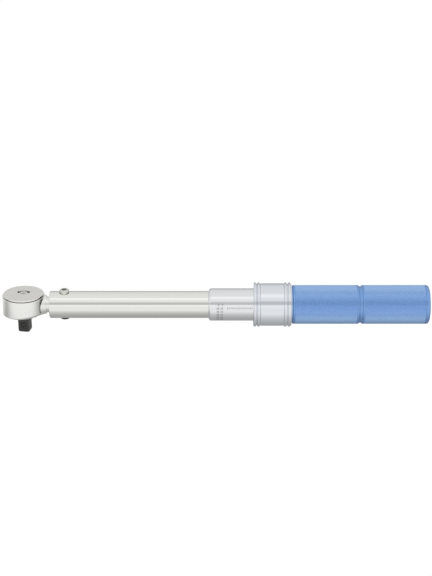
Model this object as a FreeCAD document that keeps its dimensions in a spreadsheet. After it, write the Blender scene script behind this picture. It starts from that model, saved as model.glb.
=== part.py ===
import FreeCAD, Part
import math
import os
import re

import Sketcher

# Click-type torque wrench, 3/8 inch drive. Millimetres.
# The row origin is the centre of the square drive's shoulder, where a socket seats. +X runs along the
# wrench to the end of the grip and +Z points away from the drive. Every shape is drawn with z = 0 on
# the tube's axis, and each sub-part's own Placement lifts it by axis_height.

doc = FreeCAD.newDocument("TorqueWrench")
sheet = doc.addObject("Spreadsheet::Sheet", "Sizes")
names = []
nodes = []


def size(name, value, meaning):
    """One driving dimension: a row of the sheet with its value, its alias and what it is."""
    row = len(names) + 1
    sheet.set("A%d" % row, meaning)
    sheet.set("B%d" % row, str(value))
    sheet.setAlias("B%d" % row, name)
    names.append(name)


def bound(text):
    """An expression with each size's name pointed at the sheet."""
    return re.sub(r"[a-z][a-z0-9_]*", lambda word: full_name(word.group(0)), str(text))


def full_name(word):
    return "Sizes." + word if word in names else word


def value(text):
    """The number an expression gives now."""
    answer = sheet.evalExpression(str(text))
    return float(getattr(answer, "Value", answer))


# The wrench as a whole
size("axis_height", 12.0, "tube axis above the drive's shoulder")

# Ratchet head
size("head_radius", 18.5, "outside of the round head")
size("head_top", 8.9, "head's top face above the axis")
size("head_bottom", -8.3, "head's underside")
size("bowl_shift", -1.9, "underside cone's axis, towards the nose")
size("bowl_flat", 14.1, "flat part of the underside")
size("bowl_round", 4.0, "rounding between the flat and the cone")
size("cavity_radius", 11.4, "room for the gear")
size("cavity_floor", -5.0, "floor the gear turns on")
size("ledge_height", 4.2, "ledge that carries the cover plate")
size("counterbore_radius", 14.5, "recess for the cover plate")
size("ring_groove", 0.9, "depth of the snap ring groove")
size("ring_thickness", 1.0, "snap ring")
size("pocket_radius", 16.6, "outer wall of the pawl pocket")
size("pocket_floor", -4.4, "floor of the pawl pocket")
size("pocket_half_angle", 24.0, "half width of the pawl pocket, degrees")
size("neck_start", 12.0, "neck begins inside the head")
size("neck_radius", 8.9, "neck where it leaves the head")
size("flare_start", 10.6, "blend between head and neck begins")
size("flare_width", 15.1, "half width of the blend where it begins")
size("flare_end", 20.2, "end of the blend")
size("flare_round", 16.0, "hollow rounding of the blend")
size("flare_low", -7.0, "bottom of the blend")
size("flare_high", 8.4, "top of the blend")
size("neck_break", 15.5, "where the neck starts to taper")
size("shoulder_x", 20.3, "end of the neck's shoulder")
size("shoulder_radius", 8.0, "shoulder")
size("stem_radius", 7.0, "stem between shoulder and tube")
size("stem_end", 27.0, "end of the stem")
size("lever_radius", 6.5, "round part of the lever")
size("lever_round_end", 50.0, "end of the round part of the lever")
size("tail_end", 96.0, "rear face of the lever's tail")
size("tail_width", 11.0, "square tail")

# Gear and square drive
size("teeth", 36, "gear teeth")
size("gear_tip", 11.0, "gear's tip radius")
size("gear_root", 10.15, "gear's root radius")
size("gear_top", 3.9, "top of the toothed part")
size("notch_slope", 0.94, "half width of a tooth gap for each unit of depth")
size("journal_radius", 8.0, "gear's journal in the head")
size("running_gap", 0.05, "radial gap of a running fit")
size("square_size", 9.53, "square drive across flats")
size("square_corner", 6.6, "square drive's turned corners")
size("square_length", 12.2, "length of the square below its shoulder")
size("tip_chamfer", 0.8, "chamfer on the square's tip")
size("boss_bore", 3.2, "cover plate's boss inside the gear")
size("boss_bottom", 1.2, "end of the boss")
size("detent_radius", 2.0, "drive's retaining ball")
size("detent_out", 3.6, "ball's centre from the drive's axis")
size("detent_drop", 5.8, "ball's centre below the shoulder")
size("detent_bore_end", -3.2, "end of the ball's bore, past the drive's axis")

# Pawl
size("pawl_pivot", "=gear_tip + 1.6", "pawl pin from the gear's axis")
size("pawl_pin_radius", 0.9, "pawl pin")
size("pawl_back", 13.9, "pawl's back")
size("pawl_inner", 10.3, "reach of the pawl's teeth")
size("pawl_half_angle", 21.0, "half width of the pawl, degrees")
size("pawl_rock", 4.0, "pawl's rock each way, degrees")
size("tooth_gap", 0.1, "clearance cut between pawl and gear")

# Cover plate and dial
size("plate_radius", 14.4, "cover plate")
size("plate_top", 7.4, "top of the cover plate")
size("dial_radius", 17.55, "reversing dial")
size("dial_bottom", 9.4, "underside of the dial")
size("dial_top", 10.6, "top of the dial")
size("dial_hub", 8.0, "dial's hub")
size("dial_screw_radius", 2.3, "dial screw's head")
size("dial_pin_radius", 1.6, "smooth pin of the dial screw")
size("dial_thread_radius", 1.25, "threaded end of the dial screw")
size("finger_inner", 14.9, "inside of the dial's finger")
size("finger_outer", 16.3, "outside of the dial's finger")
size("finger_bottom", -3.5, "end of the dial's finger")
size("finger_angle", 12.5, "finger's place at rest, degrees")
size("leaf_thickness", 0.35, "dial's leaf spring")

# Tube
size("tube_front", 23.1, "front end of the tube")
size("tube_end", 262.0, "rear end of the tube, inside the grip")
size("tube_radius", 12.0, "outside of the tube")
size("tube_bore", 9.5, "bore of the tube")
size("tube_round", 0.8, "rounded front edge")
size("pivot_x", 36.0, "pivot screw from the drive's axis")
size("pivot_radius", 3.0, "pivot screw's shank")
size("pivot_bush_radius", 4.0, "bush in the lever")
size("pivot_bush_half", "=tube_bore - 2.3", "half length of the bush")
size("seat_radius", 5.0, "spot faces for the pivot screw and nut")
size("seat_height", 11.0, "spot faces from the tube's axis")
size("pivot_head_radius", 4.25, "pivot screw's head")
size("pivot_head_top", 14.3, "top of the pivot screw")
size("pivot_nut_bottom", -12.8, "bottom of the pivot nut")
size("sleeve_front", 162.4, "front of the scale sleeve")
size("sleeve_taper", 2.6, "length of the sleeve's rounded front")
size("sleeve_radius", 14.3, "outside of the scale sleeve")
size("nut_front", 240.0, "front of the adjusting nut")
size("nut_pin_x", 251.0, "pins that hold the adjusting nut")
size("nut_pin_radius", 1.5, "adjusting nut's pins")

# Torque mechanism
size("block_front", 94.1, "front face of the tilt block")
size("block_length", 8.0, "tilt block along the wrench")
size("block_width", 7.0, "tilt block across")
size("recess_depth", 2.0, "recesses that hold the tilt block")
size("recess_width", 8.4, "recesses, across the wrench")
size("recess_height", 7.3, "recesses, from top to bottom")
size("plunger_front", 100.2, "front face of the plunger")
size("plunger_rear", 117.2, "rear face of the plunger")
size("spigot_radius", 4.9, "spigots inside the main spring")
size("spring_radius", 7.0, "main spring's mean radius")
size("spring_wire", 1.75, "main spring's wire radius")
size("spring_turns", 12.0, "main spring's turns")
size("seat_front", 200.0, "front face of the spring seat")
size("seat_rear", 206.0, "rear face of the spring seat")
size("thrust_radius", 3.0, "thrust ball")

# Adjusting screw and grip
size("screw_front", 208.0, "front end of the adjusting screw")
size("screw_radius", 6.0, "adjusting screw")
size("hub_front", 326.0, "front of the grip's hub")
size("hub_thickness", 8.0, "grip's hub")
size("screw_neck", 5.0, "threaded rear end of the adjusting screw")
size("nut_flats", 15.0, "screw nut across flats")
size("nut_thickness", 6.0, "screw nut")
size("washer_thickness", 1.2, "screw washer")
size("washer_radius", 8.8, "screw washer's outside")
size("key_radius", 1.2, "pin that keys the hub to the grip")
size("key_length", 6.0, "length of that pin")
size("grip_front", 209.8, "front of the grip's nose")
size("nose_radius", 16.0, "grip's nose, under the lock ring")
size("grip_shoulder", 236.0, "front of the knurled part")
size("grip_radius", 17.1, "knurled part of the grip")
size("knurl_depth", 0.35, "the knurl's root below the grip's lands")
size("land_width", 1.1, "smooth lands beside the knurl")
size("grip_end", 355.8, "rear end of the grip")
size("grip_round", 2.3, "rounded rear edge")
size("grip_groove_x", 295.5, "middle of the grip's groove")
size("grip_groove_half", 1.7, "half width of the groove")
size("grip_groove_round", 1.95, "groove's radius")
size("sleeve_gap", 0.08, "running gap between grip and scale sleeve")
size("grip_bore_end", 297.0, "end of the wide bore")
size("grip_inner", 11.0, "bore ahead of the hub")
size("grip_rear_bore", 12.0, "bore for the hub and the end cap")
size("cap_front", 350.6, "front of the end cap")
size("seal_x", 241.0, "grip's seal")
size("seal_wire", 0.55, "seal's section radius")

# Lock ring
size("ring_front", 201.8, "front of the lock ring")
size("ring_joint", 204.4, "joint between the front ring and the lock ring")
size("ring_rear", 235.1, "rear of the lock ring")
size("ring_radius", 18.8, "plain part of the lock ring")
size("ring_floor", 18.4, "grooves beside the beads")
size("bead_height", 1.25, "height of a bead above its groove")
size("bead_width", 3.0, "a bead")
size("bead_gap", 0.5, "groove beside a bead")
size("lip_radius", 14.6, "front ring's bore")
size("land_radius", 16.75, "land over the lock balls")
size("land_end", 214.4, "rear end of the land")
size("chamber_radius", 17.5, "room for the lock spring")
size("chamber_end", 228.0, "rear end of that room")
size("lock_ball_x", 212.0, "lock balls")
size("lock_ball_radius", 1.2, "lock ball")
size("clip_front", 214.5, "front of the lock ring clip")
size("clip_thickness", 1.2, "lock ring clip")
size("clip_groove_radius", 15.3, "clip's groove in the nose")
size("clip_radius", 17.2, "lock ring clip's outside")
size("lock_wire", 0.5, "half the lock spring's width")
size("lock_coil_radius", 16.78, "lock spring's mean radius")
doc.recompute()


def place(thing, x="0", y="0", z="0", along="z", spin=None):
    """Puts a shape at x, y, z, lying along an axis, or spun about its own z axis by spin degrees."""
    turn = FreeCAD.Rotation()
    if along == "x":
        turn = FreeCAD.Rotation(FreeCAD.Vector(0, 1, 0), 90)
    if along == "y":
        turn = FreeCAD.Rotation(FreeCAD.Vector(1, 0, 0), -90)
    if spin is not None:
        turn = FreeCAD.Rotation(FreeCAD.Vector(0, 0, 1), value(spin))
    spot = FreeCAD.Vector(value(x), value(y), value(z))
    thing.Placement = FreeCAD.Placement(spot, turn)
    thing.setExpression("Placement.Base.x", bound(x))
    thing.setExpression("Placement.Base.y", bound(y))
    thing.setExpression("Placement.Base.z", bound(z))
    if spin is not None:
        thing.setExpression("Placement.Rotation.Angle", bound(spin))
    return thing


def rod(label, radius, length, x="0", y="0", z="0", along="z"):
    thing = doc.addObject("Part::Cylinder", label)
    thing.setExpression("Radius", bound(radius))
    thing.setExpression("Height", bound(length))
    return place(thing, x, y, z, along)


def sector(label, radius, length, z, start, sweep):
    """A slice of a cylinder about the z axis, from the angle start over the angle sweep."""
    thing = doc.addObject("Part::Cylinder", label)
    thing.setExpression("Radius", bound(radius))
    thing.setExpression("Height", bound(length))
    thing.setExpression("Angle", bound(sweep))
    return place(thing, "0", "0", z, spin=start)


def block(label, length, width, height, x, y, z):
    thing = doc.addObject("Part::Box", label)
    thing.setExpression("Length", bound(length))
    thing.setExpression("Width", bound(width))
    thing.setExpression("Height", bound(height))
    return place(thing, x, y, z)


def ball(label, radius, x, y, z):
    thing = doc.addObject("Part::Sphere", label)
    thing.setExpression("Radius", bound(radius))
    return place(thing, x, y, z)


def fuse(label, *things):
    thing = doc.addObject("Part::MultiFuse", label)
    thing.Shapes = list(things)
    return thing


def common(label, *things):
    thing = doc.addObject("Part::MultiCommon", label)
    thing.Shapes = list(things)
    return thing


def cut(label, base, *tools):
    thing = doc.addObject("Part::Cut", label)
    thing.Base = base
    thing.Tool = tools[0] if len(tools) == 1 else fuse(label + "_tools", *tools)
    return thing


def origin_plane(body, role):
    return [plane for plane in body.Origin.OriginFeatures if plane.Role == role][0]


def turning_way(radius):
    """+1 or -1 for an arc's radius as written: a leading minus bends the outline inwards."""
    return -1 if radius.startswith("-") else 1


def arc_of(start, end, radius, way):
    """The short arc from start to end, bending to the left if way is 1 and to the right if it is -1."""
    middle = (start + end) / 2
    half = (end - start).Length / 2
    rise = math.sqrt(max(radius**2 - half**2, 0))
    side = FreeCAD.Vector(start.y - end.y, end.x - start.x, 0).normalize()
    centre = middle + side * rise * way
    first, last = (start, end) if way > 0 else (end, start)
    begin = math.atan2(first.y - centre.y, first.x - centre.x)
    finish = math.atan2(last.y - centre.y, last.x - centre.x)
    circle = Part.Circle(centre, FreeCAD.Vector(0, 0, 1), radius)
    return Part.ArcOfCircle(circle, begin, finish)


def outline(body, label, role, corners):
    """A closed sketch through the corners (across, up[, radius of the arc to the next corner])."""
    sketch = body.newObject("Sketcher::SketchObject", label)
    sketch.AttachmentSupport = [(origin_plane(body, role), "")]
    sketch.MapMode = "FlatFace"
    spots = [FreeCAD.Vector(value(c[0]), value(c[1]), 0) for c in corners]
    ends = []
    for i, corner in enumerate(corners):
        start, end = spots[i], spots[(i + 1) % len(spots)]
        if len(corner) == 2:
            sketch.addGeometry(Part.LineSegment(start, end), False)
            ends.append((1, 2))
            continue
        radius = corner[2].lstrip("-")
        way = turning_way(corner[2])
        sketch.addGeometry(arc_of(start, end, value(radius), way), False)
        ends.append((1, 2) if way > 0 else (2, 1))
    for i, corner in enumerate(corners):
        after = (i + 1) % len(corners)
        sketch.addConstraint(Sketcher.Constraint("Coincident", i, ends[i][1], after, ends[after][0]))
    for i, corner in enumerate(corners):
        fix(sketch, "DistanceX", i, ends[i][0], corner[0], -2)
        fix(sketch, "DistanceY", i, ends[i][0], corner[1], -1)
        if len(corner) == 3:
            radius = corner[2].lstrip("-")
            index = sketch.addConstraint(Sketcher.Constraint("Radius", i, value(radius)))
            sketch.setExpression("Constraints[%d]" % index, bound(radius))
    return sketch


def fix(sketch, kind, line, end, text, axis):
    """Holds one end of a line at a distance from the origin, or on the axis where that is 0."""
    if text == "0":
        sketch.addConstraint(Sketcher.Constraint("PointOnObject", line, end, axis))
        return
    index = sketch.addConstraint(Sketcher.Constraint(kind, -1, 1, line, end, value(text)))
    sketch.setExpression("Constraints[%d]" % index, bound(text))


def turned(label, axis, corners):
    """A body turned about the x axis, corners (x, radius), or about the z axis, corners (radius, z)."""
    body = doc.addObject("PartDesign::Body", label)
    sketch = outline(body, label + "_outline", "XZ_Plane", corners)
    feature = body.newObject("PartDesign::Revolution", label + "_turned")
    feature.Profile = sketch
    feature.ReferenceAxis = (sketch, ["H_Axis" if axis == "x" else "V_Axis"])
    feature.Angle = 360.0
    sketch.Visibility = False
    return body


def tube_piece(label, x0, x1, inner, outer, axis="x"):
    """A plain turned ring between x0 and x1 (or between two heights, for axis z)."""
    if axis == "x":
        return turned(label, "x", [(x0, inner), (x1, inner), (x1, outer), (x0, outer)])
    return turned(label, "z", [(inner, x0), (outer, x0), (outer, x1), (inner, x1)])


def coil(label, mean, wire, length, turns):
    """A spring about the z axis whose wire just touches z = 0 and z = its length."""
    rise = "(%s - 2 * %s)" % (length, wire)
    helix = doc.addObject("Part::Helix", label + "_path")
    helix.setExpression("Radius", bound(mean))
    helix.setExpression("Pitch", bound("%s / %s" % (rise, turns)))
    helix.setExpression("Height", bound(rise))
    section = doc.addObject("Part::Circle", label + "_section")
    section.setExpression("Radius", bound(wire))
    turn = FreeCAD.Rotation(FreeCAD.Vector(1, 0, 0), 90)
    section.Placement = FreeCAD.Placement(FreeCAD.Vector(), turn)
    section.setExpression("Placement.Base.x", bound(mean))
    doc.recompute()
    sweep = doc.addObject("Part::Sweep", label + "_wire")
    sweep.Sections = [section]
    sweep.Spine = (helix, ["Edge%d" % (n + 1) for n in range(len(helix.Shape.Edges))])
    sweep.Solid = True
    sweep.Frenet = True
    raised = doc.addObject("Part::Compound", label + "_raised")
    raised.Links = [place(sweep, z=wire)]
    return raised


def wave_spring(label, inner, outer, length, waves):
    """A spring drawn as one pleated ring about the z axis, from z = 0 to its length."""
    step = "(%s) / %d" % (length, 2 * waves)
    wall = "((%s) - (%s)) * 0.4" % (outer, inner)
    out_side = []
    in_side = []
    for fold in range(2 * waves + 1):
        height = "0" if fold == 0 else "%s * %d" % (step, fold)
        deep = fold % 2 == 1
        out_side.append(("%s - %s" % (outer, wall) if deep else outer, height))
        in_side.append((inner if deep else "%s + %s" % (inner, wall), height))
    return turned(label, "z", out_side + in_side[::-1])


def node(label, thing, x="0", y="0", z="0", along="z", spin=None):
    """Makes a shape a named sub-part, lifted from the tube's axis to the row frame by its Placement."""
    place(thing, x, y, "axis_height + " + z, along, spin)
    thing.Label = label
    nodes.append(thing)


# ---- Ratchet head -------------------------------------------------------------------------------


def toothed_wheel(label, tip, root):
    """The gear's blank with its tooth gaps, at height 0 to the gear's thickness."""
    blank = [("0", "cavity_floor"), (tip, "cavity_floor"), (tip, "gear_top"), ("0", "gear_top")]
    body = turned(label, "z", blank)
    reach = tip + " + 0.5"
    half = "(%s - %s) * notch_slope" % (reach, root)
    corners = [(root, "0"), (reach, "-(%s)" % half), (reach, half)]
    gap = outline(body, label + "_gap", "XY_Plane", corners)
    pocket = body.newObject("PartDesign::Pocket", label + "_gap_cut")
    pocket.Profile = gap
    pocket.Type = "ThroughAll"
    pocket.SideType = "Symmetric"
    doc.recompute()
    teeth = body.newObject("PartDesign::PolarPattern", label + "_teeth")
    teeth.Originals = [pocket]
    teeth.Axis = (gap, ["N_Axis"])
    teeth.Angle = 360.0
    teeth.setExpression("Occurrences", bound("teeth"))
    body.Tip = teeth
    gap.Visibility = False
    return body


def head_body():
    """Round head, neck and lever in one forging, with the room for the gear, pawl and cover plate."""
    drum = turned(
        "head_drum",
        "z",
        [
            ("0", "head_bottom"),
            ("head_radius", "head_bottom"),
            ("head_radius", "head_top - 0.4", "0.4"),
            ("head_radius - 0.4", "head_top"),
            ("0", "head_top"),
        ],
    )
    # The underside is a cone with its axis nearer the nose, so it cuts deeper towards the neck.
    slope_in = "bowl_flat + bowl_round * 0.70711"
    slope_up = "head_bottom + bowl_round * 0.29289"
    bowl = turned(
        "head_bowl",
        "z",
        [
            ("0", "head_bottom"),
            ("bowl_flat", "head_bottom", "bowl_round"),
            (slope_in, slope_up),
            (slope_in + " + 20", slope_up + " + 20"),
            ("0", slope_up + " + 20"),
        ],
    )
    place(bowl, "bowl_shift")
    neck = turned(
        "head_neck",
        "x",
        [
            ("neck_start", "0"),
            ("lever_round_end", "0"),
            ("lever_round_end", "lever_radius"),
            ("stem_end + 0.5", "lever_radius"),
            ("stem_end", "stem_radius"),
            ("shoulder_x", "stem_radius"),
            ("shoulder_x", "shoulder_radius"),
            ("neck_break", "neck_radius"),
            ("neck_start", "neck_radius"),
        ],
    )
    # A hollow-rounded blend, kept to the middle of the head's height, eases the head into the neck.
    flare = turned(
        "head_flare",
        "x",
        [
            ("flare_start", "0"),
            ("flare_end", "0"),
            ("flare_end", "shoulder_radius", "-flare_round"),
            ("flare_start", "flare_width"),
        ],
    )
    height = "flare_high - flare_low"
    slab = block("flare_slab", "40", "40", height, "0", "-20", "flare_low")
    half = "-tail_width / 2"
    tail_length = "tail_end - lever_round_end + 1"
    tail = block("head_tail", tail_length, "tail_width", "tail_width", "lever_round_end - 1", half, half)
    blend = common("head_blend", flare, slab)
    solid = fuse("head_solid", common("head_round", drum, bowl), neck, blend, tail)
    groove = "counterbore_radius + ring_groove"
    room = turned(
        "head_room",
        "z",
        [
            ("0", "head_bottom - 1"),
            ("journal_radius + running_gap", "head_bottom - 1"),
            ("journal_radius + running_gap", "cavity_floor"),
            ("cavity_radius", "cavity_floor"),
            ("cavity_radius", "ledge_height"),
            ("counterbore_radius", "ledge_height"),
            ("counterbore_radius", "plate_top"),
            (groove, "plate_top"),
            (groove, "plate_top + ring_thickness"),
            ("counterbore_radius", "plate_top + ring_thickness"),
            ("counterbore_radius", "head_top + 1"),
            ("0", "head_top + 1"),
        ],
    )
    depth = "head_top - pocket_floor + 1"
    pocket = sector(
        "pawl_pocket", "pocket_radius", depth, "pocket_floor", "-pocket_half_angle", "2 * pocket_half_angle"
    )
    pin_hole = rod("pawl_pin_hole", "pawl_pin_radius", "4", "pawl_pivot", "0", "pocket_floor - 2")
    bush_hole = rod("bush_hole", "pivot_bush_radius", "tail_width * 2", "pivot_x", "0", "-tail_width")
    recess = block(
        "tail_recess",
        "recess_depth + 1",
        "recess_width",
        "recess_height",
        "tail_end - recess_depth",
        "-recess_width / 2",
        "-recess_height / 2",
    )
    node("head_body", cut("head_forging", solid, room, pocket, pin_hole, bush_hole, recess))


def pivot_bush():
    """Bush pressed in the lever, turning on the pivot screw."""
    inner = "pivot_radius + running_gap"
    bush = tube_piece("bush", "-pivot_bush_half", "pivot_bush_half", inner, "pivot_bush_radius", "z")
    node("pivot_bush", bush, "pivot_x")


def cover_plate():
    """Plate over the gear, with a boss that steadies the gear and takes the dial's screw."""
    plate = turned(
        "plate",
        "z",
        [
            ("dial_thread_radius", "boss_bottom"),
            ("boss_bore", "boss_bottom"),
            ("boss_bore", "ledge_height"),
            ("plate_radius", "ledge_height"),
            ("plate_radius", "plate_top"),
            ("dial_thread_radius", "plate_top"),
        ],
    )
    pin_hole = rod("plate_pin_hole", "pawl_pin_radius", "1.6", "pawl_pivot", "0", "ledge_height - 0.1")
    node("cover_plate", cut("plate_drilled", plate, pin_hole))


def cover_ring():
    """Snap ring over the plate, open towards the pawl so that the dial's finger can pass."""
    top = "plate_top + ring_thickness"
    inner = "counterbore_radius - 1.6"
    ring = tube_piece("ring", "plate_top", top, inner, "counterbore_radius + ring_groove", "z")
    gap = sector("ring_gap", "head_radius", "3", "plate_top - 1", "-32", "64")
    node("cover_ring", cut("ring_open", ring, gap))


def pawl_pin():
    """Pin that the pawl rocks on, held by the head's floor and the cover plate."""
    pin = rod("pin", "pawl_pin_radius", "ledge_height - pocket_floor + 3.4")
    node("pawl_pin", pin, "pawl_pivot", "0", "pocket_floor - 2")


def dial_screw():
    """Shouldered screw in the cover plate, flush with the dial that turns on it."""
    top = "dial_top - 0.1"
    screw = turned(
        "screw",
        "z",
        [
            ("0", "boss_bottom + 0.4"),
            ("dial_thread_radius", "boss_bottom + 0.4"),
            ("dial_thread_radius", "plate_top"),
            ("dial_pin_radius", "plate_top"),
            ("dial_pin_radius", "dial_bottom + 0.15"),
            ("dial_screw_radius", "dial_bottom + 0.15"),
            ("dial_screw_radius", top),
            ("0", top),
        ],
    )
    length = "2 * dial_screw_radius + 1"
    slot = block("screw_slot", length, "0.6", "1", "-dial_screw_radius - 0.5", "-0.3", "dial_top - 0.5")
    node("dial_screw", cut("screw_slotted", screw, slot))


def square_drive():
    """Ratchet gear, journal and square drive in one piece, one tooth round from the wrench's line."""
    wheel = toothed_wheel("gear_wheel", "gear_tip", "gear_root")
    shaft = turned(
        "drive_shaft",
        "z",
        [
            ("0", "-axis_height"),
            ("journal_radius", "-axis_height"),
            ("journal_radius", "gear_top"),
            ("0", "gear_top"),
        ],
    )
    tip = "-axis_height - square_length"
    envelope = turned(
        "drive_envelope",
        "z",
        [
            ("0", tip),
            ("square_corner - tip_chamfer", tip),
            ("square_corner", tip + " + tip_chamfer"),
            ("square_corner", "-axis_height + 1"),
            ("0", "-axis_height + 1"),
        ],
    )
    side = "-square_size / 2"
    square = block("drive_square", "square_size", "square_size", "square_length + 1", side, side, tip)
    solid = fuse("drive_solid", wheel, shaft, common("drive_end", envelope, square))
    top_bore = rod("top_bore", "boss_bore + running_gap", "4", "0", "0", "boss_bottom - 0.3")
    ball_bore = rod(
        "ball_bore",
        "detent_radius + running_gap",
        "square_size - detent_bore_end",
        "0",
        "-square_size",
        "-axis_height - detent_drop",
        "y",
    )
    drive = cut("drive", solid, top_bore, ball_bore)
    node("drive_gear", drive, spin="-360 / teeth")


def pawl():
    """Rocker cut with the gear's own form where it sits at rest, midway and reversed."""
    depth = "ledge_height - pocket_floor - 0.4"
    base = "pocket_floor + 0.1"
    sweep = "2 * pawl_half_angle"
    outer = sector("pawl_outer", "pawl_back", depth, base, "-pawl_half_angle", sweep)
    inner = rod("pawl_hollow", "pawl_inner", "20", "0", "0", "-10")
    wheel = toothed_wheel("gear_space", "gear_tip + tooth_gap", "gear_root + tooth_gap * 1.4")
    tools = [inner]
    for label, angle in (("rest", "-pawl_rock"), ("middle", "0"), ("reversed", "pawl_rock")):
        space = doc.addObject("Part::Compound", "gear_space_" + label)
        space.Links = [wheel]
        x = "pawl_pivot * (1 - cos((%s) * 1 deg))" % angle
        y = "-pawl_pivot * sin((%s) * 1 deg)" % angle
        place(space, x, y, spin=angle)
        tools.append(space)
    tools.append(rod("pawl_bore", "pawl_pin_radius + running_gap", "20", "pawl_pivot", "0", "-10"))
    rocker = cut("rocker", outer, *tools)
    x = "pawl_pivot * (1 - cos(pawl_rock * 1 deg))"
    y = "-pawl_pivot * sin(pawl_rock * 1 deg)"
    node("pawl", rocker, x, y, spin="pawl_rock")


def selector_dial():
    """Flat reversing dial with its hub, and the finger that reaches down behind the pawl."""
    disc = turned(
        "dial_disc",
        "z",
        [
            ("dial_pin_radius + running_gap", "plate_top"),
            ("dial_hub", "plate_top"),
            ("dial_hub", "dial_bottom"),
            ("dial_radius", "dial_bottom"),
            ("dial_radius", "dial_top - 0.3", "0.3"),
            ("dial_radius - 0.3", "dial_top"),
            ("dial_screw_radius + running_gap", "dial_top"),
            ("dial_screw_radius + running_gap", "dial_bottom + 0.1"),
            ("dial_pin_radius + running_gap", "dial_bottom + 0.1"),
        ],
    )
    length = "dial_bottom - finger_bottom + 0.5"
    outer = sector("finger_block", "finger_outer", length, "finger_bottom", "finger_angle - 4", "8")
    finger = cut("finger", outer, rod("finger_hollow", "finger_inner", "40", "0", "0", "-20"))
    node("selector_dial", fuse("dial", disc, finger))


def pawl_spring():
    """Curved leaf on the dial's finger that pushes one end of the pawl into the gear."""
    outer = sector("leaf_block", "finger_inner", "4", "0", "finger_angle - 10", "20")
    inner = rod("leaf_hollow", "finger_inner - leaf_thickness", "20", "0", "0", "-10")
    node("pawl_spring", cut("leaf", outer, inner), z="-2")


# ---- Tube and what is fixed to it ---------------------------------------------------------------


def tube():
    """Main tube, with spot faces and a hole for the pivot screw, and holes for the nut's pins."""
    pipe = turned(
        "pipe",
        "x",
        [
            ("tube_front", "tube_bore"),
            ("tube_end", "tube_bore"),
            ("tube_end", "tube_radius"),
            ("tube_front + tube_round", "tube_radius", "tube_round"),
            ("tube_front", "tube_radius - tube_round"),
        ],
    )
    pivot = rod("pivot_hole", "pivot_radius", "40", "pivot_x", "0", "-20")
    pins = rod("tube_pin_hole", "nut_pin_radius", "40", "nut_pin_x", "0", "-20")
    upper = rod("upper_seat", "seat_radius", "5", "pivot_x", "0", "seat_height")
    lower = rod("lower_seat", "seat_radius", "5", "pivot_x", "0", "-seat_height - 5")
    node("tube", cut("pipe_drilled", pipe, pivot, pins, upper, lower))


def scale_sleeve():
    """Sleeve that carries the scale, rounded down to the tube at its front."""
    shell = turned(
        "sleeve_shell",
        "x",
        [
            ("sleeve_front", "tube_radius"),
            ("tube_end", "tube_radius"),
            ("tube_end", "sleeve_radius"),
            ("sleeve_front + sleeve_taper", "sleeve_radius", "sleeve_taper"),
            ("sleeve_front", "tube_radius + 0.4"),
        ],
    )
    pins = rod("sleeve_pin_hole", "nut_pin_radius", "40", "nut_pin_x", "0", "-20")
    node("scale_sleeve", cut("sleeve_drilled", shell, pins))


def adjusting_nut():
    """Bronze nut in the rear of the tube. The screw's thread runs in its bore."""
    nut = tube_piece("nut_blank", "nut_front", "tube_end", "screw_radius + running_gap", "tube_bore")
    pins = rod("nut_pin_hole", "nut_pin_radius", "40", "nut_pin_x", "0", "-20")
    node("adjusting_nut", cut("nut_drilled", nut, pins))


def nut_pins():
    """Two pins through sleeve, tube and nut, flush below the sleeve's surface."""
    length = "sleeve_radius - 0.2 - screw_radius - 1"
    node("nut_pin_top", rod("top_pin", "nut_pin_radius", length), "nut_pin_x", "0", "screw_radius + 1")
    lower_pin = rod("bottom_pin", "nut_pin_radius", length)
    node("nut_pin_bottom", lower_pin, "nut_pin_x", "0", "-sleeve_radius + 0.2")


def pivot_screw():
    """Hexagon socket screw through tube and lever."""
    screw = turned(
        "pivot_blank",
        "z",
        [
            ("0", "pivot_nut_bottom + 0.4"),
            ("pivot_radius", "pivot_nut_bottom + 0.4"),
            ("pivot_radius", "seat_height"),
            ("pivot_head_radius", "seat_height"),
            ("pivot_head_radius", "pivot_head_top - 0.7"),
            ("pivot_head_radius - 0.7", "pivot_head_top"),
            ("0", "pivot_head_top"),
        ],
    )
    socket = doc.addObject("Part::Prism", "pivot_socket")
    socket.Polygon = 6
    socket.setExpression("Circumradius", bound("pivot_radius * 0.77"))
    socket.setExpression("Height", "5")
    place(socket, "0", "0", "pivot_head_top - 2.2")
    node("pivot_screw", cut("pivot_socketed", screw, socket), "pivot_x")


def pivot_nut():
    """Low round nut on the screw, in the lower spot face."""
    nut = turned(
        "pivot_nut_blank",
        "z",
        [
            ("pivot_radius", "pivot_nut_bottom"),
            ("pivot_head_radius - 0.4", "pivot_nut_bottom"),
            ("pivot_head_radius", "pivot_nut_bottom + 0.4"),
            ("pivot_head_radius", "-seat_height"),
            ("pivot_radius", "-seat_height"),
        ],
    )
    node("pivot_nut", nut, "pivot_x")


# ---- Torque mechanism ---------------------------------------------------------------------------


def tilt_block():
    """Square block between the lever's tail and the plunger. It tips over when the wrench clicks."""
    side = "-block_width / 2"
    solid = block("block_solid", "block_length", "block_width", "block_width", "0", side, side)
    chamfer = doc.addObject("Part::Chamfer", "block_chamfered")
    doc.recompute()
    chamfer.Base = solid
    long_edges = [n + 1 for n, edge in enumerate(solid.Shape.Edges) if abs(edge.tangentAt(0).x) > 0.9]
    chamfer.Edges = [(number, 0.5, 0.5) for number in long_edges]
    node("tilt_block", chamfer, "block_front")


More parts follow.
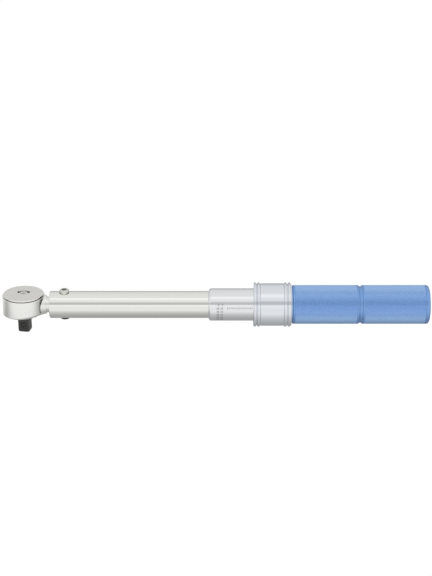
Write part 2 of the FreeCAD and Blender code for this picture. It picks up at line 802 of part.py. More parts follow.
def plunger():
    """Piston in the tube with a recess for the tilt block and a spigot for the spring."""
    piston = turned(
        "piston",
        "x",
        [
            ("plunger_front", "0"),
            ("plunger_rear + 7", "0"),
            ("plunger_rear + 7", "spigot_radius - 0.6"),
            ("plunger_rear + 6", "spigot_radius"),
            ("plunger_rear", "spigot_radius"),
            ("plunger_rear", "tube_bore - running_gap"),
            ("plunger_front + 0.6", "tube_bore - running_gap"),
            ("plunger_front", "tube_bore - 0.6"),
        ],
    )
    recess = block(
        "plunger_recess",
        "recess_depth + 1",
        "recess_width",
        "recess_height",
        "plunger_front - 1",
        "-recess_width / 2",
        "-recess_height / 2",
    )
    node("plunger", cut("piston_cut", piston, recess))


def main_spring():
    """Compression spring that sets the torque."""
    length = "seat_front - plunger_rear"
    spring = coil("spring", "spring_radius", "spring_wire", length, "spring_turns")
    node("main_spring", spring, "plunger_rear", along="x")


def spring_seat():
    """Seat at the rear of the main spring, with a drilled recess for the thrust ball."""
    seat = turned(
        "seat",
        "x",
        [
            ("seat_front - 7", "0"),
            ("seat_rear - 2", "0"),
            ("seat_rear - 2", "thrust_radius + running_gap"),
            ("seat_rear", "thrust_radius + running_gap"),
            ("seat_rear", "tube_bore - running_gap"),
            ("seat_front", "tube_bore - running_gap"),
            ("seat_front", "spigot_radius"),
            ("seat_front - 6", "spigot_radius"),
            ("seat_front - 7", "spigot_radius - 0.6"),
        ],
    )
    node("spring_seat", seat)
    node("thrust_ball", ball("thrust", "thrust_radius", "0", "0", "0"), "seat_rear - 2 + thrust_radius")


# ---- Grip ---------------------------------------------------------------------------------------


def adjusting_screw():
    """Long screw from the grip's hub, through the nut, to the thrust ball."""
    screw = turned(
        "long_screw",
        "x",
        [
            ("screw_front + 2", "0"),
            ("hub_front + hub_thickness + nut_thickness + 3", "0"),
            ("hub_front + hub_thickness + nut_thickness + 3", "screw_neck"),
            ("hub_front", "screw_neck"),
            ("hub_front", "screw_radius"),
            ("screw_front + 0.8", "screw_radius"),
            ("screw_front", "screw_radius - 0.8"),
            ("screw_front", "thrust_radius + running_gap"),
            ("screw_front + 2", "thrust_radius + running_gap"),
        ],
    )
    node("adjusting_screw", screw)


def grip():
    """Aluminium grip: nose under the lock ring, two knurled bands at their root size, groove, round end."""
    root = "grip_radius - knurl_depth"
    front_land = "grip_shoulder + 0.5 + land_width"
    before_groove = "grip_groove_x - grip_groove_half - land_width"
    after_groove = "grip_groove_x + grip_groove_half + land_width"
    rear_land = "grip_end - grip_round - land_width"
    bore = "sleeve_radius + sleeve_gap"
    seal_floor = bore + " + 2 * seal_wire"
    shell = turned(
        "grip_shell",
        "x",
        [
            ("grip_front", bore),
            ("seal_x - seal_wire - 0.2", bore),
            ("seal_x - seal_wire - 0.2", seal_floor),
            ("seal_x + seal_wire + 0.2", seal_floor),
            ("seal_x + seal_wire + 0.2", bore),
            ("grip_bore_end", bore),
            ("grip_bore_end", "grip_inner"),
            ("hub_front", "grip_inner"),
            ("hub_front", "grip_rear_bore"),
            ("grip_end", "grip_rear_bore"),
            ("grip_end", "grip_radius - grip_round", "grip_round"),
            ("grip_end - grip_round", "grip_radius"),
            (rear_land, "grip_radius"),
            (rear_land, root),
            (after_groove, root),
            (after_groove, "grip_radius"),
            ("grip_groove_x + grip_groove_half", "grip_radius", "-grip_groove_round"),
            ("grip_groove_x - grip_groove_half", "grip_radius"),
            (before_groove, "grip_radius"),
            (before_groove, root),
            (front_land, root),
            (front_land, "grip_radius"),
            ("grip_shoulder + 0.5", "grip_radius"),
            ("grip_shoulder", "grip_radius - 0.5"),
            ("grip_shoulder", "nose_radius"),
            ("clip_front + clip_thickness", "nose_radius"),
            ("clip_front + clip_thickness", "clip_groove_radius"),
            ("clip_front", "clip_groove_radius"),
            ("clip_front", "nose_radius"),
            ("grip_front", "nose_radius"),
        ],
    )
    tools = []
    for number in range(3):
        hole = rod("ball_hole_%d" % number, "lock_ball_radius + running_gap", "30")
        turn = FreeCAD.Rotation(FreeCAD.Vector(1, 0, 0), -120 * number)
        hole.Placement = FreeCAD.Placement(FreeCAD.Vector(value("lock_ball_x"), 0, 0), turn)
        hole.setExpression("Placement.Base.x", bound("lock_ball_x"))
        tools.append(hole)
    key_x = "hub_front + 1"
    tools.append(rod("key_hole_grip", "key_radius", "key_length", key_x, "0", "-grip_rear_bore", "x"))
    node("grip", cut("grip_drilled", shell, *tools))


def hub():
    """Disc that joins the screw to the grip, with its key, washer and nut."""
    back = "hub_front + hub_thickness"
    disc = tube_piece("hub_disc", "hub_front", back, "screw_neck", "grip_rear_bore")
    key_hole = rod("key_hole_hub", "key_radius", "key_length", "hub_front + 1", "0", "-grip_rear_bore", "x")
    node("grip_hub", cut("hub_drilled", disc, key_hole))
    node("hub_key", rod("key", "key_radius", "key_length"), "hub_front + 1", "0", "-grip_rear_bore", "x")
    node("screw_washer", tube_piece("washer", "0", "washer_thickness", "screw_neck", "washer_radius"), back)
    prism = doc.addObject("Part::Prism", "nut_prism")
    prism.Polygon = 6
    prism.setExpression("Circumradius", bound("nut_flats / 1.732"))
    prism.setExpression("Height", bound("nut_thickness"))
    hexagon = cut("nut_hexagon", prism, rod("nut_bore", "screw_neck", "20", "0", "0", "-5"))
    node("screw_nut", hexagon, back + " + washer_thickness", along="x")


def end_cap():
    """Cap pressed in the rear of the grip."""
    cap = turned(
        "cap",
        "x",
        [
            ("cap_front", "grip_rear_bore - 1.5"),
            ("grip_end - 2.2", "grip_rear_bore - 1.5"),
            ("grip_end - 2.2", "0"),
            ("grip_end - 0.4", "0"),
            ("grip_end - 0.4", "grip_rear_bore - 0.8"),
            ("grip_end - 1.2", "grip_rear_bore"),
            ("cap_front", "grip_rear_bore"),
        ],
    )
    node("end_cap", cap)


def grip_seal():
    """O-ring between the grip and the scale sleeve."""
    ring = doc.addObject("Part::Torus", "seal_ring")
    ring.setExpression("Radius1", bound("sleeve_radius + sleeve_gap + seal_wire"))
    ring.setExpression("Radius2", bound("seal_wire"))
    node("grip_seal", ring, "seal_x", along="x")


# ---- Lock ring ----------------------------------------------------------------------------------


def lock_balls():
    """Three balls that the ring's land presses on the sleeve."""
    for number in range(3):
        angle = "(%d) * 1 deg" % (120 * number)
        reach = "(sleeve_radius + lock_ball_radius)"
        sphere = ball("lock_sphere_%d" % number, "lock_ball_radius", "0", "0", "0")
        y = "%s * sin(%s)" % (reach, angle)
        z = "%s * cos(%s)" % (reach, angle)
        node("lock_ball_%d" % (number + 1), sphere, "lock_ball_x", y, z)


def lock_clip():
    """Open clip in the nose's groove: the ring rests against it and the spring pushes off it."""
    rear = "clip_front + clip_thickness"
    ring = tube_piece("clip", "clip_front", rear, "clip_groove_radius", "clip_radius")
    gap = block("clip_gap", "6", "6", "20", "clip_front - 2", "-3", "0")
    node("lock_clip", cut("clip_open", ring, gap))


def lock_spring():
    """Spring that returns the lock ring."""
    start = "clip_front + clip_thickness"
    inner = "lock_coil_radius - lock_wire"
    outer = "lock_coil_radius + lock_wire"
    spring = wave_spring("lock_pleats", inner, outer, "chamber_end - (%s)" % start, 5)
    node("lock_spring", spring, start, along="x")


def lock_ring():
    """Lock ring with a bead and groove at its front and two beads at its rear."""
    bead2 = "(ring_joint + bead_gap)"
    bead4 = "(ring_rear - 0.4 - bead_width)"
    bead3 = "(ring_rear - 0.4 - 2 * bead_width - bead_gap)"
    bead_round = "((bead_width / 2) ^ 2 + bead_height ^ 2) / (2 * bead_height)"
    shell = turned(
        "lock_shell",
        "x",
        [
            ("ring_joint", "land_radius"),
            ("land_end", "land_radius"),
            ("land_end", "chamber_radius"),
            ("chamber_end", "chamber_radius"),
            ("chamber_end", "nose_radius + running_gap"),
            ("ring_rear", "nose_radius + running_gap"),
            ("ring_rear", "ring_floor"),
            (bead4 + " + bead_width", "ring_floor", bead_round),
            (bead4, "ring_floor"),
            (bead3 + " + bead_width", "ring_floor", bead_round),
            (bead3, "ring_floor"),
            (bead3 + " - bead_gap", "ring_floor"),
            (bead3 + " - bead_gap", "ring_radius"),
            (bead2 + " + bead_width + bead_gap", "ring_radius"),
            (bead2 + " + bead_width + bead_gap", "ring_floor"),
            (bead2 + " + bead_width", "ring_floor", bead_round),
            (bead2, "ring_floor"),
            ("ring_joint", "ring_floor"),
        ],
    )
    node("lock_ring", shell)


def lock_ring_cap():
    """Front ring with the first bead, closing the lock ring over the sleeve."""
    half = "((ring_joint - ring_front) / 2)"
    bead_round = "(%s ^ 2 + bead_height ^ 2) / (2 * bead_height)" % half
    cap = turned(
        "front_ring",
        "x",
        [
            ("ring_front", "lip_radius"),
            ("ring_joint", "lip_radius"),
            ("ring_joint", "ring_floor", bead_round),
            ("ring_front", "ring_floor"),
        ],
    )
    node("lock_ring_cap", cap)


def detent_spring():
    """Spring behind the drive's ball, laid across the square."""
    length = "detent_out - detent_radius - detent_bore_end"
    spring = wave_spring("ball_spring", "detent_radius - 1.2", "detent_radius - 0.5", length, 4)
    place(spring, "0", "-(detent_out - detent_radius)", "0", along="y")
    laid = doc.addObject("Part::Compound", "ball_spring_laid")
    laid.Links = [spring]
    node("detent_spring", laid, "0", "0", "-axis_height - detent_drop", spin="-360 / teeth")


def detent_ball():
    """Retaining ball on one side of the square."""
    angle = "(360 / teeth) * 1 deg"
    sphere = ball("ball_sphere", "detent_radius", "0", "0", "0")
    x = "-detent_out * sin(%s)" % angle
    y = "-detent_out * cos(%s)" % angle
    node("detent_ball", sphere, x, y, "-axis_height - detent_drop")


for make in (
    head_body,
    pivot_bush,
    cover_plate,
    cover_ring,
    pawl_pin,
    dial_screw,
    square_drive,
    detent_spring,
    detent_ball,
    pawl,
    selector_dial,
    pawl_spring,
    tube,
    scale_sleeve,
    adjusting_nut,
    nut_pins,
    pivot_screw,
    pivot_nut,
    tilt_block,
    plunger,
    main_spring,
    spring_seat,
    adjusting_screw,
    grip,
    hub,
    end_cap,
    grip_seal,
    lock_balls,
    lock_clip,
    lock_spring,
    lock_ring,
    lock_ring_cap,
):
    make()

doc.recompute()
for thing in doc.Objects:
    if "Invalid" in thing.State or "Error" in thing.State:
        raise RuntimeError("%s could not be computed" % thing.Label)

os.makedirs("parts", exist_ok=True)
for thing in nodes:
    if thing.Shape.isNull() or not thing.Shape.isValid():
        raise RuntimeError("%s has no valid shape" % thing.Label)
    thing.Shape.exportStep("parts/%s.step" % thing.Label)
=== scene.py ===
import math

import bmesh
import bpy
from mathutils import Matrix, Vector


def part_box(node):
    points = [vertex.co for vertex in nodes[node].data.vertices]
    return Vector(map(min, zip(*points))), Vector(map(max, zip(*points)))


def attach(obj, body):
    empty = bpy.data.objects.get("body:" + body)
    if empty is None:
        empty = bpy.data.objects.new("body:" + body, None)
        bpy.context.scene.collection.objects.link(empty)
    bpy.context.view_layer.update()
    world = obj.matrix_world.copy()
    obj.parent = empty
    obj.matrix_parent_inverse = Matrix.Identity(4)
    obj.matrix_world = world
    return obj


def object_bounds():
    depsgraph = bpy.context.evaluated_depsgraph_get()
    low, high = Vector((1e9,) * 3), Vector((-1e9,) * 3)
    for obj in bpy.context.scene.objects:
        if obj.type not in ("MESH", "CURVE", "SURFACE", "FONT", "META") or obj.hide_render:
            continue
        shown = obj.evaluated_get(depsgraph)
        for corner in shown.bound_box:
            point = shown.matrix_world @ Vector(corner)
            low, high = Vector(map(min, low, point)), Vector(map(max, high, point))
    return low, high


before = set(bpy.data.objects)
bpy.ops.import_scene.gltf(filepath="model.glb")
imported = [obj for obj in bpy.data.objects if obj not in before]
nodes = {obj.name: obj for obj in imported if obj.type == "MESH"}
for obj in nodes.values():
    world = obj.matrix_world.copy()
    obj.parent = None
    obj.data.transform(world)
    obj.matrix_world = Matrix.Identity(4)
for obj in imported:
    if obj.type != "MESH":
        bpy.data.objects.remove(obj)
cad_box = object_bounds()

# Camera, sky, softbox and floor.
# A long lens looks across the wrench from 23 degrees above. Polished metal shows only what is round it,
# so the sky is shaded with given values, and so is the floor where the metal reflects it.
tube_low, tube_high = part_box("tube")
axis_height = (tube_low[2] + tube_high[2]) / 2
wrench_middle = 0.169
camera_rise = math.radians(23.0)
camera_distance = 1.232
room_above = 0.01443
view_back = Vector((0, -math.cos(camera_rise), math.sin(camera_rise)))
view_up = Vector((0, math.sin(camera_rise), math.cos(camera_rise)))
aim = Vector((wrench_middle, 0, axis_height)) + view_up * room_above

camera = bpy.data.objects.new("camera", bpy.data.cameras.new("camera"))
camera.data.lens = 87.5
camera.data.sensor_width = 36.0
camera.data.clip_start = 0.05
camera.data.clip_end = 50.0
camera.location = aim + view_back * camera_distance
camera.rotation_mode = "QUATERNION"
camera.rotation_quaternion = (-view_back).to_track_quat("-Z", "Y")
bpy.context.collection.objects.link(camera)
bpy.context.scene.camera = camera
bpy.context.scene.view_settings.view_transform = "Standard"


def add(tree, kind, values=None, links=None, **settings):
    """Adds a shader node with its settings, its sockets' values and the links into it."""
    node = tree.nodes.new("ShaderNode" + kind)
    for name, setting in settings.items():
        setattr(node, name, setting)
    for socket, value in (values or {}).items():
        node.inputs[socket].default_value = value
    for socket, source in (links or {}).items():
        tree.links.new(source, node.inputs[socket])
    return node


# The sky's brightness depends only on the angle round the wrench's length: 0 is the horizon in front
# of the wrench, 0.5 is overhead and 1 is the horizon behind it. The dim strip near 0.15 draws the thin
# dark line along the tube, and the fall at the end darkens the metal's far side.
sky_brightness = (
    (0.0, 1.0),
    (0.095, 1.10),
    (0.125, 0.60),
    (0.20, 0.64),
    (0.255, 1.0),
    (0.36, 0.92),
    (0.60, 0.92),
    (0.74, 0.86),
    (0.88, 0.76),
    (0.94, 0.40),
    (1.0, 0.24),
)
world = bpy.data.worlds.new("studio_sky")
world.use_nodes = True
sky = world.node_tree
sky.nodes.clear()
ray = add(sky, "TexCoord")
split = add(sky, "SeparateXYZ", links={0: ray.outputs["Generated"]})
front = add(sky, "Math", {1: -1.0}, {0: split.outputs["Y"]}, operation="MULTIPLY")
angle = add(sky, "Math", links={0: split.outputs["Z"], 1: front.outputs[0]}, operation="ARCTAN2")
around = add(sky, "Math", {1: math.pi}, {0: angle.outputs[0]}, operation="DIVIDE", use_clamp=True)
shade = add(sky, "ValToRGB", links={0: around.outputs[0]})
stops = shade.color_ramp.elements
while len(stops) < len(sky_brightness):
    stops.new(1.0)
for stop, (place, grey) in zip(stops, sky_brightness):
    stop.position = place
    stop.color = (grey, grey, grey, 1.0)
glow = add(sky, "Background", {"Strength": 1.0}, {"Color": shade.outputs["Color"]})
add(sky, "OutputWorld", links={"Surface": glow.outputs[0]})
bpy.context.scene.world = world

# A weak softbox above the front gives flat faces a little direction without a hard highlight.
softbox = bpy.data.lights.new("softbox", "AREA")
softbox.shape = "RECTANGLE"
softbox.size = 0.9
softbox.size_y = 0.45
softbox.energy = 0.25
softbox_stand = bpy.data.objects.new("softbox", softbox)
softbox_stand.location = (0.1, -0.35, 0.9)
softbox_stand.rotation_euler = (math.radians(-22), 0, 0)
bpy.context.collection.objects.link(softbox_stand)


def new_piece(name, shape, material):
    """A mesh object at the origin, made from a bmesh that is then freed."""
    mesh = bpy.data.meshes.new(name)
    shape.to_mesh(mesh)
    shape.free()
    mesh.materials.append(material)
    piece = bpy.data.objects.new(name, mesh)
    bpy.context.collection.objects.link(piece)
    return piece


# White paper that gives its own light, so it takes no shadow. The camera sees it plain white. Only in
# reflections is it dimmer, in a band under the wrench's line, which stands in for the missing shadow.
floor_half = 6.0
floor_gap = 0.0002
paper_to_camera = 1.02
shade_reach = 0.06
shade_under, shade_beside = 0.42, 0.98
paper_white = (1.0, 1.0, 1.0, 1.0)
floor_paper = bpy.data.materials.new("white_paper_floor")
floor_paper.use_nodes = True
paper = floor_paper.node_tree
paper.nodes.clear()
on_floor = add(paper, "TexCoord")
floor_split = add(paper, "SeparateXYZ", links={0: on_floor.outputs["Object"]})
from_line = add(paper, "Math", links={0: floor_split.outputs["Y"]}, operation="ABSOLUTE")
floor_shade = add(
    paper,
    "MapRange",
    {"From Min": 0.0, "From Max": shade_reach, "To Min": shade_under, "To Max": shade_beside},
    {0: from_line.outputs[0]},
    interpolation_type="SMOOTHSTEP",
)
seen_paper = add(paper, "Emission", {"Color": paper_white, "Strength": paper_to_camera})
mirrored_paper = add(paper, "Emission", {"Color": paper_white}, {"Strength": floor_shade.outputs[0]})
light_path = add(paper, "LightPath")
which_ray = {0: light_path.outputs["Is Camera Ray"], 1: mirrored_paper.outputs[0], 2: seen_paper.outputs[0]}
floor_mix = add(paper, "MixShader", links=which_ray)
add(paper, "OutputMaterial", links={"Surface": floor_mix.outputs[0]})

floor_shape = bmesh.new()
bmesh.ops.create_grid(floor_shape, x_segments=1, y_segments=1, size=floor_half)
floor_height = cad_box[0][2] - floor_gap
bmesh.ops.translate(floor_shape, verts=floor_shape.verts, vec=(wrench_middle, 0, floor_height))
floor = new_piece("floor", floor_shape, floor_paper)

# Tube.
# Drawn steel tube, polished and bright chromed, so it is a near mirror: the light and dark of the studio
# run along it as long straight bands. Its polishing marks only blur those bands a little.


def linear_colour(code):
    """An sRGB hex colour as the linear values that Blender's sockets take."""
    parts = [int(code[i : i + 2], 16) / 255 for i in (1, 3, 5)]
    return [c / 12.92 if c <= 0.04045 else ((c + 0.055) / 1.055) ** 2.4 for c in parts] + [1.0]


def metal(name, code, roughness, grain_mm, stretch=1.0, bump_mm=0.0):
    """Bare or plated metal with a fine grain, stretched along the wrench where stretch is above 1."""
    gloss_spread = 0.04
    material = bpy.data.materials.new(name)
    material.use_nodes = True
    tree = material.node_tree
    shader = tree.nodes["Principled BSDF"]
    shader.inputs["Base Color"].default_value = linear_colour(code)
    shader.inputs["Metallic"].default_value = 1.0
    place = add(tree, "TexCoord")
    laid = add(tree, "Mapping", {"Scale": (1 / stretch, 1, 1)}, {0: place.outputs["Object"]})
    grain = add(tree, "TexNoise", {"Scale": 1000 / grain_mm, "Detail": 3.0}, {0: laid.outputs[0]})
    ends = {"To Min": roughness - gloss_spread, "To Max": roughness + gloss_spread}
    rough = add(tree, "MapRange", ends, {0: grain.outputs[0]})
    tree.links.new(rough.outputs[0], shader.inputs["Roughness"])
    if bump_mm:
        depth = {"Strength": 1.0, "Distance": bump_mm / 1000}
        dents = add(tree, "Bump", depth, {"Height": grain.outputs[0]})
        tree.links.new(dents.outputs[0], shader.inputs["Normal"])
    return material


def paint_node(name, material):
    """Gives a CAD node its finish."""
    mesh = nodes[name].data
    mesh.materials.clear()
    mesh.materials.append(material)


tube_chrome = metal("bright_chrome_tube", "#E6E6E2", 0.09, 2.0, stretch=20)
paint_node("tube", tube_chrome)

# Scale sleeve.
# Thicker sleeve over the tube, turned and satin chromed: its bands are a little wider and softer than
# the tube's. Its scale is engraved and filled with matt dark ink: a line with cross lines, and rows of
# plain numbers round the front.
sleeve_chrome = metal("satin_chrome_sleeve", "#E4E5E6", 0.14, 1.5, stretch=12)
paint_node("scale_sleeve", sleeve_chrome)


def ink(name, code, roughness, grain_mm):
    """Dark ink, plastic, rubber or black oxide: not a metal to the eye, with a fine grain in its gloss."""
    gloss_spread = 0.06
    material = bpy.data.materials.new(name)
    material.use_nodes = True
    tree = material.node_tree
    shader = tree.nodes["Principled BSDF"]
    shader.inputs["Base Color"].default_value = linear_colour(code)
    place = add(tree, "TexCoord")
    grain = add(tree, "TexNoise", {"Scale": 1000 / grain_mm, "Detail": 3.0}, {0: place.outputs["Object"]})
    ends = {"To Min": roughness - gloss_spread, "To Max": roughness + gloss_spread}
    rough = add(tree, "MapRange", ends, {0: grain.outputs[0]})
    tree.links.new(rough.outputs[0], shader.inputs["Roughness"])
    return material


black_ink = ink("dark_mark_ink", "#242322", 0.5, 0.5)

sleeve_low, sleeve_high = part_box("scale_sleeve")
sleeve_radius = (sleeve_high[2] - sleeve_low[2]) / 2
ink_thickness = 0.00004
ink_sink = 0.00001
scale_turn = math.radians(10.0)
widest_flat = 0.001
bend_cuts = 4


def wrap(shape, radius, turn):
    """Bends a flat drawing round the wrench: x stays along it, y becomes the way round, z the height."""
    for corner in shape.verts:
        way = turn + corner.co.y / radius
        reach = radius + corner.co.z
        corner.co = Vector((corner.co.x, -reach * math.cos(way), axis_height + reach * math.sin(way)))


def flat_bar(shape, x, y, length, width):
    """Adds a thin bar with its lower left corner at x, y, cut where it is wide enough to have to bend."""
    bar = bmesh.ops.create_cube(shape, size=1.0)["verts"]
    bmesh.ops.scale(shape, verts=bar, vec=(length, width, ink_thickness))
    bmesh.ops.translate(shape, verts=bar, vec=(x + length / 2, y + width / 2, 0))
    if width > widest_flat:
        edges = {edge for corner in bar for edge in corner.link_edges}
        across = [edge for edge in edges if abs(edge.verts[0].co.y - edge.verts[1].co.y) > width / 2]
        bmesh.ops.subdivide_edges(shape, edges=across, cuts=bend_cuts)


def number(shape, text, x, y, size):
    """Adds plain numbers, drawn flat with their middle at x, y and read towards the grip."""
    writing = bpy.data.curves.new("number", "FONT")
    writing.body = text
    writing.size = size
    writing.align_x = "CENTER"
    writing.align_y = "CENTER"
    writing.extrude = ink_thickness / 2
    carrier = bpy.data.objects.new("number", writing)
    bpy.context.collection.objects.link(carrier)
    bpy.context.view_layer.update()
    mesh = bpy.data.meshes.new_from_object(carrier)
    mesh.transform(Matrix.Translation((x, y, 0)))
    shape.from_mesh(mesh)
    bpy.data.objects.remove(carrier)
    bpy.data.curves.remove(writing)
    bpy.data.meshes.remove(mesh)


scale_rows = ("10 15", "20 25", "30 35", "40 45", "50 55", "60 65")
number_size = 0.0026
number_place = sleeve_low[0] + 0.0099
first_row, row_step = 0.0028, 0.0031
scale_shape = bmesh.new()
for row, text in enumerate(scale_rows):
    number(scale_shape, text, number_place, first_row - row_step * row, number_size)

line_width = 0.00018
line_start, line_end = sleeve_low[0] + 0.0165, sleeve_low[0] + 0.0385
tick_count, tick_step = 12, 0.002
long_tick, short_tick = 0.0030, 0.0017
long_tick_every = 5
flat_bar(scale_shape, line_start, 0.0, line_end - line_start, line_width)
for index in range(tick_count):
    reach = long_tick if index % long_tick_every == 0 else short_tick
    flat_bar(scale_shape, line_start + tick_step * index, -reach / 2, line_width, reach)
wrap(scale_shape, sleeve_radius - ink_sink, scale_turn)
scale_marks = new_piece("scale_marks", scale_shape, black_ink)
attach(scale_marks, "tube")

# Ratchet head.
# Head, neck and lever are one steel forging, ground and satin chromed. Its slight unevenness shows through
# the plating, so it has soft wide highlights instead of the tube's straight bands.
head_chrome = metal("satin_chrome_forging", "#ECECE8", 0.30, 3.0, bump_mm=0.012)
paint_node("head_body", head_chrome)

# Hidden steel: pawl, cover plate, plunger, screw, hub, pins, nuts and balls.
# Turned, milled or ground steel inside the head, tube and grip, left bare and oiled. It is a little
# darker than chrome, with a soft highlight.
inner_steel = metal("turned_steel", "#C9C9C6", 0.28, 0.6)
head_steel = ("cover_plate", "pawl_pin", "pawl")
tube_steel = ("plunger", "spring_seat", "adjusting_screw", "nut_pin_top", "nut_pin_bottom", "thrust_ball")
grip_steel = ("grip_hub", "hub_key", "screw_washer", "screw_nut")
lock_balls = ("lock_ball_1", "lock_ball_2", "lock_ball_3")
for name in head_steel + tube_steel + grip_steel + lock_balls:
    paint_node(name, inner_steel)

# Springs, snap ring and lock clip.
# Wound or bent from spring steel wire and strip, blued when it was tempered: dark blue-grey metal with
# a soft shine. They are held by the seats and grooves that they press into.
spring_steel = metal("blued_spring_steel", "#77777C", 0.30, 0.8)
for name in ("cover_ring", "pawl_spring", "detent_spring", "main_spring", "lock_clip", "lock_spring"):
    paint_node(name, spring_steel)

# Pivot bush and adjusting nut.
# Turned from bearing bronze: a warm brownish yellow among the greys. The bush sits in the head's lever,
# and the nut is pinned in the tube.
bronze = metal("bearing_bronze", "#C9A468", 0.32, 0.8)
for name in ("pivot_bush", "adjusting_nut"):
    paint_node(name, bronze)

# Reversing dial.
# Flat steel disc, vapour blasted to an even satin that shows pale grey from every side. A small bright
# screw lies flush at its centre, and a double-ended arrow is printed in black round the screw.
dial_steel = metal("blasted_steel_dial", "#EAE8E4", 0.30, 0.5, bump_mm=0.004)
paint_node("selector_dial", dial_steel)
screw_steel = metal("bright_screw_steel", "#D2D1CC", 0.22, 0.7)
paint_node("dial_screw", screw_steel)

dial_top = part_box("selector_dial")[1][2]
print_thickness = 0.00003
arrow_radius = 0.0053
arrow_half_turn = math.radians(52)
arrow_facets = 24
stem_half_width = 0.0006
head_half_width = 0.0021
head_length_turn = 0.55
head_overlap_turn = 0.10
arrow_shape = bmesh.new()
arrow_stem = [
    arrow_shape.verts.new((arrow_radius - stem_half_width, 0, 0)),
    arrow_shape.verts.new((arrow_radius + stem_half_width, 0, 0)),
]
stem_edge = arrow_shape.edges.new(arrow_stem)
bmesh.ops.spin(
    arrow_shape,
    geom=arrow_stem + [stem_edge],
    cent=(0, 0, 0),
    axis=(0, 0, 1),
    angle=2 * arrow_half_turn,
    steps=arrow_facets,
)
to_back = Matrix.Rotation(math.pi / 2 - arrow_half_turn, 3, "Z")
bmesh.ops.rotate(arrow_shape, verts=arrow_shape.verts, cent=(0, 0, 0), matrix=to_back)
for side in (-1, 1):
    tip_turn = math.pi / 2 + side * (arrow_half_turn + head_length_turn)
    base_turn = math.pi / 2 + side * (arrow_half_turn - head_overlap_turn)
    tip_place = (arrow_radius * math.cos(tip_turn), arrow_radius * math.sin(tip_turn), 0)
    tip = arrow_shape.verts.new(tip_place)
    barbs = [
        arrow_shape.verts.new((reach * math.cos(base_turn), reach * math.sin(base_turn), 0))
        for reach in (arrow_radius - head_half_width, arrow_radius + head_half_width)
    ]
    arrow_shape.faces.new([tip] + barbs)
bmesh.ops.recalc_face_normals(arrow_shape, faces=arrow_shape.faces)
raised = bmesh.ops.extrude_face_region(arrow_shape, geom=arrow_shape.faces[:])["geom"]
raised_corners = [part for part in raised if isinstance(part, bmesh.types.BMVert)]
bmesh.ops.translate(arrow_shape, verts=raised_corners, vec=(0, 0, print_thickness))
bmesh.ops.translate(arrow_shape, verts=arrow_shape.verts, vec=(0, 0, dial_top - print_thickness))
bmesh.ops.recalc_face_normals(arrow_shape, faces=arrow_shape.faces)
direction_arrow = new_piece("direction_arrow", arrow_shape, black_ink)
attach(direction_arrow, "selector")

# Square drive, tilt block and pivot nut.
# Hardened steel, black oxided and oiled: nearly black, with a soft sheen on its edges. The square is one
# piece with the ratchet's gear, and its retaining ball has the same finish.
black_oxide = ink("black_oxide_steel", "#3A3A36", 0.38, 0.8)
for name in ("drive_gear", "detent_ball", "tilt_block", "pivot_nut"):
    paint_node(name, black_oxide)

# Pivot screw.
# Turned socket screw through the tube and the lever, its head in a spot face on top of the tube. It is
# the dial screw's steel: bright, but duller than the chrome round it.
paint_node("pivot_screw", screw_steel)

# Lock ring and its cap.
# Turned steel, chromed over fine turning marks: cooler than the tube, with softer bands. The ring slides
# on the grip's front end, and its cap closes it over the sleeve.
ring_chrome = metal("turned_chrome_ring", "#DFE3E8", 0.17, 1.2, bump_mm=0.002)
paint_node("lock_ring", ring_chrome)
paint_node("lock_ring_cap", ring_chrome)

# Grip.
# Turned aluminium, knurled in two bands and anodised a soft pale blue. That one blue is given as two shades
# of painted light:
# the plain parts are painted darker and the knurl paler, to offset the shade its diamonds cast on each
# other.
grip_blue_painted_darker = metal("blue_anodised_aluminium_painted_darker", "#83A9DC", 0.40, 0.9, bump_mm=0.004)
# Paler copy of the grip's blue for the knurl: a painted highlight, not a different finish.
knurl_blue_painted_paler = metal("blue_anodised_knurling_painted_paler", "#9ABCE8", 0.30, 0.9)
paint_node("grip", grip_blue_painted_darker)

# The real knurl's diamonds are about 1.8 mm. They are drawn at 2.0 mm, so that they show.
grip_low, grip_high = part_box("grip")
grip_radius = (grip_high[2] - grip_low[2]) / 2
knurl_sink = 0.00035
knurl_root = grip_radius - knurl_sink
knurl_pitch = 0.0020
flank_width = 0.00046
diamond_height = 0.00033
band_wall = 0.0003
knurl_bands = {"knurl_front": (0.2376, 0.2927), "knurl_rear": (0.2983, 0.3524)}


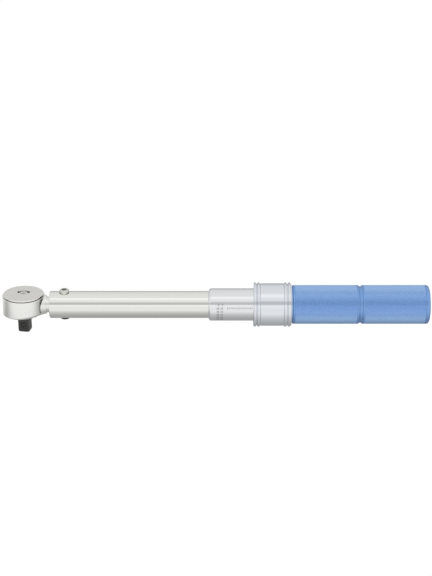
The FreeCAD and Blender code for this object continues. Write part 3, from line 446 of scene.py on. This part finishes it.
def knurl(name, start, end):
    """A closed sleeve of raised diamonds on the grip, made from a grid whose squares are turned."""
    length = end - start
    around = round(2 * math.pi * grip_radius / knurl_pitch)
    along = round(length / knurl_pitch)
    shape = bmesh.new()
    round_wall = {"cap_ends": False, "segments": around, "radius1": knurl_root, "radius2": knurl_root}
    bmesh.ops.create_cone(shape, depth=length, **round_wall)
    lengthways = [e for e in shape.edges if abs(e.verts[0].co.z - e.verts[1].co.z) > length / 2]
    bmesh.ops.subdivide_edges(shape, edges=lengthways, cuts=along - 1)
    square_sides = [e for e in shape.edges if len(e.link_faces) == 2]
    bmesh.ops.poke(shape, faces=shape.faces[:])
    bmesh.ops.dissolve_edges(shape, edges=square_sides, use_verts=False)
    for corner in shape.verts:
        corner.co.xy = corner.co.xy.normalized() * knurl_root
    diamonds = [f for f in shape.faces if len(f.verts) == 4]
    bmesh.ops.inset_individual(shape, faces=diamonds, thickness=flank_width, depth=diamond_height)
    rims = [e for e in shape.edges if len(e.link_faces) == 1]
    inner = bmesh.ops.extrude_edge_only(shape, edges=rims)["geom"]
    for corner in [part for part in inner if isinstance(part, bmesh.types.BMVert)]:
        corner.co.xy = corner.co.xy.normalized() * (knurl_root - band_wall)
    bmesh.ops.bridge_loops(shape, edges=[e for e in shape.edges if len(e.link_faces) == 1])
    lying = Matrix.Rotation(math.pi / 2, 3, "Y")
    bmesh.ops.rotate(shape, verts=shape.verts, cent=(0, 0, 0), matrix=lying)
    bmesh.ops.translate(shape, verts=shape.verts, vec=((start + end) / 2, 0, axis_height))
    bmesh.ops.recalc_face_normals(shape, faces=shape.faces)
    # The knurl bands take the blue painted paler, which stands in for light against their own shade.
    band = new_piece(name, shape, knurl_blue_painted_paler)
    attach(band, "handle")


for name, (start, end) in knurl_bands.items():
    knurl(name, start, end)

# End cap and seal.
# Moulded black plastic cap pressed into the grip's end, with a soft satin shine, and an almost matt black
# rubber ring in a groove of the grip's bore, where the grip slides on the sleeve.
black_plastic = ink("moulded_black_plastic", "#2B2B2D", 0.45, 0.6)
paint_node("end_cap", black_plastic)
black_rubber = ink("black_rubber", "#232323", 0.6, 0.4)
paint_node("grip_seal", black_rubber)
